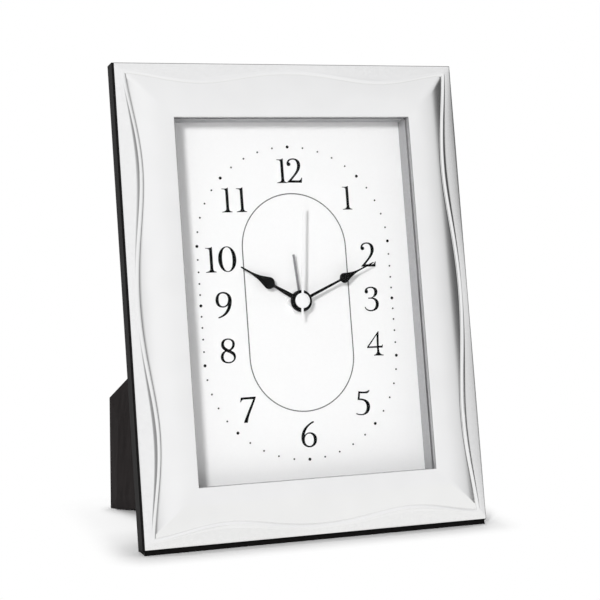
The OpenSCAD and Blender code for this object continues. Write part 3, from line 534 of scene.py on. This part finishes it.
def flat_print(loops, name, look):
    """Thin printed shape from closed loops; a loop inside another is a hole."""
    curve = bpy.data.curves.new(name, "CURVE")
    curve.dimensions = "2D"
    curve.fill_mode = "BOTH"
    curve.extrude = PRINT_T / 2
    for loop in loops:
        points = [p for i, p in enumerate(loop) if i == 0 or math.dist(p, loop[i - 1]) > SAME_POINT]
        if math.dist(points[0], points[-1]) < SAME_POINT:
            points.pop()
        spline = curve.splines.new("POLY")
        spline.points.add(len(points) - 1)
        for target, (x, y) in zip(spline.points, points):
            target.co = (x, y, 0, 1)
        spline.use_cyclic_u = True
    drawn = bpy.data.objects.new(name, curve)
    bpy.context.scene.collection.objects.link(drawn)
    mesh = bpy.data.meshes.new_from_object(drawn.evaluated_get(bpy.context.evaluated_depsgraph_get()))
    bpy.data.objects.remove(drawn)
    bm = bmesh.new()
    bm.from_mesh(mesh)
    bpy.data.meshes.remove(mesh)
    bmesh.ops.translate(bm, verts=bm.verts, vec=(0, 0, DIAL_FRONT + PRINT_T / 2))
    finish_piece(bm, name, look, place=DIAL, smooth=False)


def numeral_loops(text, x, y, height):
    """Outlines of a numeral about its middle on the dial."""
    gap = FIGURE_GAPS.get(text, 0)
    at = -(sum(DIGITS[figure][0] for figure in text) + gap * (len(text) - 1)) / 2
    loops = []
    for figure in text:
        width, outlines = DIGITS[figure]
        for points in outlines:
            loops.append([(x + (px + at) * height / FIGURE_H, y + (py - FIGURE_H / 2) * height / FIGURE_H)
                          for px, py in points])
        at += width + gap
    return loops


def track_point(angle, half_w, half_h):
    """Where the ray at a clock angle from the centre meets the oblong track."""
    arc = half_h - half_w
    dx, dy = math.sin(angle), math.cos(angle)
    if abs(dx) > 1e-9:
        reach = half_w / abs(dx)
        if abs(reach * dy) <= arc:
            return (reach * dx, reach * dy)
    cy = arc if dy > 0 else -arc
    along = dy * cy
    reach = along + math.sqrt(along * along - cy * cy + half_w * half_w)
    return (reach * dx, reach * dy)


def arc_points(x, y, r, start, end, n):
    """Points of an arc, both ends included."""
    turns = [start + (end - start) * i / n for i in range(n + 1)]
    return [(x + r * math.cos(turn), y + r * math.sin(turn)) for turn in turns]


def stadium(half_w, half_h):
    """Outline of an upright oblong with round ends."""
    middle = half_h - half_w
    return (arc_points(0, middle, half_w, 0, math.pi, 40)
            + arc_points(0, -middle, half_w, math.pi, 2 * math.pi, 40))


def print_dial():
    """Numerals, sixty dots on the oblong track, and the line inside it."""
    for text, x, y, height in NUMERALS:
        flat_print(numeral_loops(text, x, y, height), "numeral_" + text, INK)
    dots = []
    for minute in range(60):
        x, y = track_point(math.radians(minute * 6), TRACK_HALF_W, TRACK_HALF_H)
        radius = HOUR_DOT_R if minute % 5 == 0 else MINUTE_DOT_R
        dots.append(arc_points(x, y, radius, 0, 2 * math.pi, 20))
    flat_print(dots, "minute_dots", INK)
    edges = [stadium(OBLONG_HALF_W + t, OBLONG_HALF_H + t) for t in (OBLONG_HALF_T, -OBLONG_HALF_T)]
    flat_print(edges, "oblong_line", INK_GREY)


print_dial()


# Spade hands: a pressed blade on a round hub, with the collar that grips its pipe

HUB_R = 5.3
COLLAR_H = 0.4
PIPE_PLAY = 0.02
BLADE_SINK = 0.02
HOUR_LEVEL = 4.9
MINUTE_LEVEL = HOUR_LEVEL + 1.2

# Outlines of the blades: distance from the centre and half width
HOUR_BLADE = (
    (4.4, 1.15), (9.0, 1.0), (14.6, 0.62), (15.2, 0.75), (15.7, 1.3), (16.2, 2.1),
    (17.2, 2.8), (18.2, 3.0), (19.2, 2.8), (21.4, 2.0), (23.7, 1.2), (26.2, 0.72),
    (28.6, 0.48), (31.5, 0.43), (34.0, 0.36), (34.4, 0.15),
)
MINUTE_BLADE = (
    (4.4, 0.72), (14.7, 0.65), (22.6, 0.52), (23.1, 0.7), (23.5, 1.4), (24.0, 2.05),
    (24.8, 2.45), (25.6, 2.5), (26.6, 2.2), (28.4, 1.5), (30.1, 1.0), (32.0, 0.6),
    (34.0, 0.4), (39.5, 0.35), (42.8, 0.28), (43.2, 0.1),
)


def make_spade_hand(name, body, blade, level, clock_angle, pipe_r, collar_wall):
    bore = pipe_r + PIPE_PLAY
    collar_r = pipe_r + collar_wall
    bm = bmesh.new()
    ring = [(bore, -COLLAR_H), (collar_r, -COLLAR_H), (collar_r, 0), (HUB_R, 0), (HUB_R, HAND_T),
            (bore, HAND_T)]
    verts = [bm.verts.new((r, 0, z)) for r, z in ring]
    edges = [bm.edges.new(pair) for pair in zip(verts, verts[1:] + verts[:1])]
    bmesh.ops.spin(bm, geom=verts + edges, cent=(0, 0, 0), axis=(0, 0, 1), dvec=(0, 0, 0),
                   angle=2 * math.pi, steps=72, use_merge=True)
    loop = [(x, y) for x, y in blade] + [(x, -y) for x, y in reversed(blade)]
    face = bm.faces.new([bm.verts.new((x, y, BLADE_SINK)) for x, y in loop])
    moved = bmesh.ops.extrude_face_region(bm, geom=[face])["geom"]
    bmesh.ops.translate(bm, verts=[v for v in moved if isinstance(v, bmesh.types.BMVert)],
                        vec=(0, 0, HAND_T - 2 * BLADE_SINK))
    turn = Matrix.Rotation(math.radians(90 - clock_angle), 4, "Z")
    piece = finish_piece(bm, name + "_plate", HAND_BLACK, body=body,
                         place=DIAL @ Matrix.Translation((0, 0, level)) @ turn)
    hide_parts(name)


make_spade_hand("hour_hand", "hour_group", HOUR_BLADE, level=HOUR_LEVEL, clock_angle=301.0,
                pipe_r=2.0, collar_wall=1.4)
make_spade_hand("minute_hand", "minute_group", MINUTE_BLADE, level=MINUTE_LEVEL, clock_angle=65.8,
                pipe_r=1.3, collar_wall=1.3)


# Studio: pale floor, soft lights and a white surround

FLOOR_SIZE = 6.0
FLOOR_WHITE = 0.93

# The clock's footprint, and how far from it the floor's shade fades, in metres
FOOTPRINT_MIDDLE = (0.0, 0.0495, 0.0)
FOOTPRINT_HALF = (FRAME_W / 2 * MM, 0.0555, 0.0)
CAMERA_FADE = (0.004, 0.021)
GLOSSY_FADE = (0.001, 0.009)

# Brightness of the room as the silver sees it, from its left side to its right side
ROOM = ((0.0, 0.25), (0.18, 0.32), (0.27, 0.80), (0.35, 0.96), (0.43, 0.97), (0.52, 0.96), (0.62, 0.93),
        (0.69, 0.92), (0.76, 0.90), (0.83, 0.84), (0.88, 0.77), (0.905, 0.70), (0.914, 0.48), (0.922, 0.27),
        (0.940, 0.12), (1.0, 0.06))

# The room's left and right side along X, how much height leans that, and its faint blue
ROOM_SIDES = (-1.0, 1.1)
ROOM_LEAN = 0.35
ROOM_BLUE = 1.01
SOFT_LIGHT = 0.35


def floor_material():
    """Pale floor that fades to plain white away from the clock, for the camera and in the silver."""
    mat = bpy.data.materials.new("floor")
    tree = empty_tree(mat)
    out = add(tree, "ShaderNodeOutputMaterial")
    shader = add(tree, "ShaderNodeBsdfPrincipled", {
        "Base Color": (FLOOR_WHITE,) * 3 + (1,), "Roughness": 0.9, "Specular IOR Level": 0.0})
    white = add(tree, "ShaderNodeEmission")
    coord = add(tree, "ShaderNodeTexCoord")
    middle = add(tree, "ShaderNodeVectorMath", {1: FOOTPRINT_MIDDLE}, operation="SUBTRACT")
    side = add(tree, "ShaderNodeVectorMath", operation="ABSOLUTE")
    past = add(tree, "ShaderNodeVectorMath", {1: FOOTPRINT_HALF}, operation="SUBTRACT")
    outside = add(tree, "ShaderNodeVectorMath", operation="MAXIMUM")
    reach = add(tree, "ShaderNodeVectorMath", operation="LENGTH")
    path = add(tree, "ShaderNodeLightPath")
    both = add(tree, "ShaderNodeMath", operation="ADD")
    level = add(tree, "ShaderNodeMath", {1: 1 - FLOOR_WHITE, 2: FLOOR_WHITE}, operation="MULTIPLY_ADD")
    mix = add(tree, "ShaderNodeMixShader")
    fades = (("Is Camera Ray", CAMERA_FADE), ("Is Glossy Ray", GLOSSY_FADE))
    for k, (ray, (start, end)) in enumerate(fades):
        fade = add(tree, "ShaderNodeMapRange", {"From Min": start, "From Max": end},
                   interpolation_type="SMOOTHSTEP")
        seen = add(tree, "ShaderNodeMath", operation="MULTIPLY")
        wire(tree,
             (reach, "Value", fade, "Value"),
             (fade, "Result", seen, 0),
             (path, ray, seen, 1),
             (seen, "Value", both, k))
    wire(tree,
         (coord, "Object", middle, 0),
         (middle, "Vector", side, 0),
         (side, "Vector", past, 0),
         (past, "Vector", outside, 0),
         (outside, "Vector", reach, 0),
         (path, "Is Camera Ray", level, 0),
         (level, "Value", white, "Strength"),
         (both, "Value", mix, "Fac"),
         (shader, "BSDF", mix, 1),
         (white, "Emission", mix, 2),
         (mix, "Shader", out, "Surface"))
    return mat


def make_floor():
    bm = bmesh.new()
    bmesh.ops.create_grid(bm, x_segments=1, y_segments=1, size=FLOOR_SIZE)
    mesh = bpy.data.meshes.new("floor")
    bm.to_mesh(mesh)
    bm.free()
    mesh.materials.append(floor_material())
    floor = bpy.data.objects.new("floor", mesh)
    bpy.context.scene.collection.objects.link(floor)


def make_light(name, place, aim, size, power):
    """Square soft lamp that shows in no reflection."""
    data = bpy.data.lights.new(name, "AREA")
    data.shape = "SQUARE"
    data.size = size
    data.energy = power
    light = bpy.data.objects.new(name, data)
    light.location = place
    light.rotation_euler = (Vector(aim) - Vector(place)).to_track_quat("-Z", "Y").to_euler()
    light.visible_glossy = False
    bpy.context.scene.collection.objects.link(light)


def make_world():
    """White for the camera, the room for mirrored rays, and a plain soft light for all others."""
    world = bpy.data.worlds.new("studio")
    bpy.context.scene.world = world
    tree = empty_tree(world)
    out = add(tree, "ShaderNodeOutputWorld")
    coord = add(tree, "ShaderNodeTexCoord")
    split = add(tree, "ShaderNodeSeparateXYZ")
    lift = add(tree, "ShaderNodeMath", {1: ROOM_LEAN}, operation="MULTIPLY_ADD")
    shift = add(tree, "ShaderNodeMapRange", {"From Min": ROOM_SIDES[0], "From Max": ROOM_SIDES[1]})
    ramp = add(tree, "ShaderNodeValToRGB")
    stops = ramp.color_ramp.elements
    for place, level in ROOM[1:-1]:
        stops.new(place)
    for stop, (place, level) in zip(stops, ROOM):
        stop.color = (level, level, level * ROOM_BLUE, 1)
    room = add(tree, "ShaderNodeBackground")
    soft = add(tree, "ShaderNodeBackground", {"Color": (1, 1, 1, 1), "Strength": SOFT_LIGHT})
    white = add(tree, "ShaderNodeBackground", {"Color": (1, 1, 1, 1), "Strength": 1.0})
    path = add(tree, "ShaderNodeLightPath")
    first = add(tree, "ShaderNodeMath", {1: 0.5}, operation="LESS_THAN")
    mirrored = add(tree, "ShaderNodeMath", operation="MULTIPLY")
    glossy = add(tree, "ShaderNodeMixShader")
    mix = add(tree, "ShaderNodeMixShader")
    wire(tree,
         (coord, "Generated", split, "Vector"),
         (split, "Z", lift, 0),
         (split, "X", lift, 2),
         (lift, "Value", shift, "Value"),
         (shift, "Result", ramp, "Fac"),
         (ramp, "Color", room, "Color"),
         (path, "Diffuse Depth", first, 0),
         (path, "Is Glossy Ray", mirrored, 0),
         (first, "Value", mirrored, 1),
         (mirrored, "Value", glossy, "Fac"),
         (soft, "Background", glossy, 1),
         (room, "Background", glossy, 2),
         (path, "Is Camera Ray", mix, "Fac"),
         (glossy, "Shader", mix, 1),
         (white, "Background", mix, 2),
         (mix, "Shader", out, "Surface"))


make_floor()
make_light("key", place=(-1.11, -1.48, 0.87), aim=(0, 0, 0.11), size=0.30, power=25.2)
make_light("top", place=(0.05, 0.42, 1.75), aim=(0, 0, 0), size=0.35, power=17.0)
make_world()
bpy.context.scene.view_settings.view_transform = "Standard"
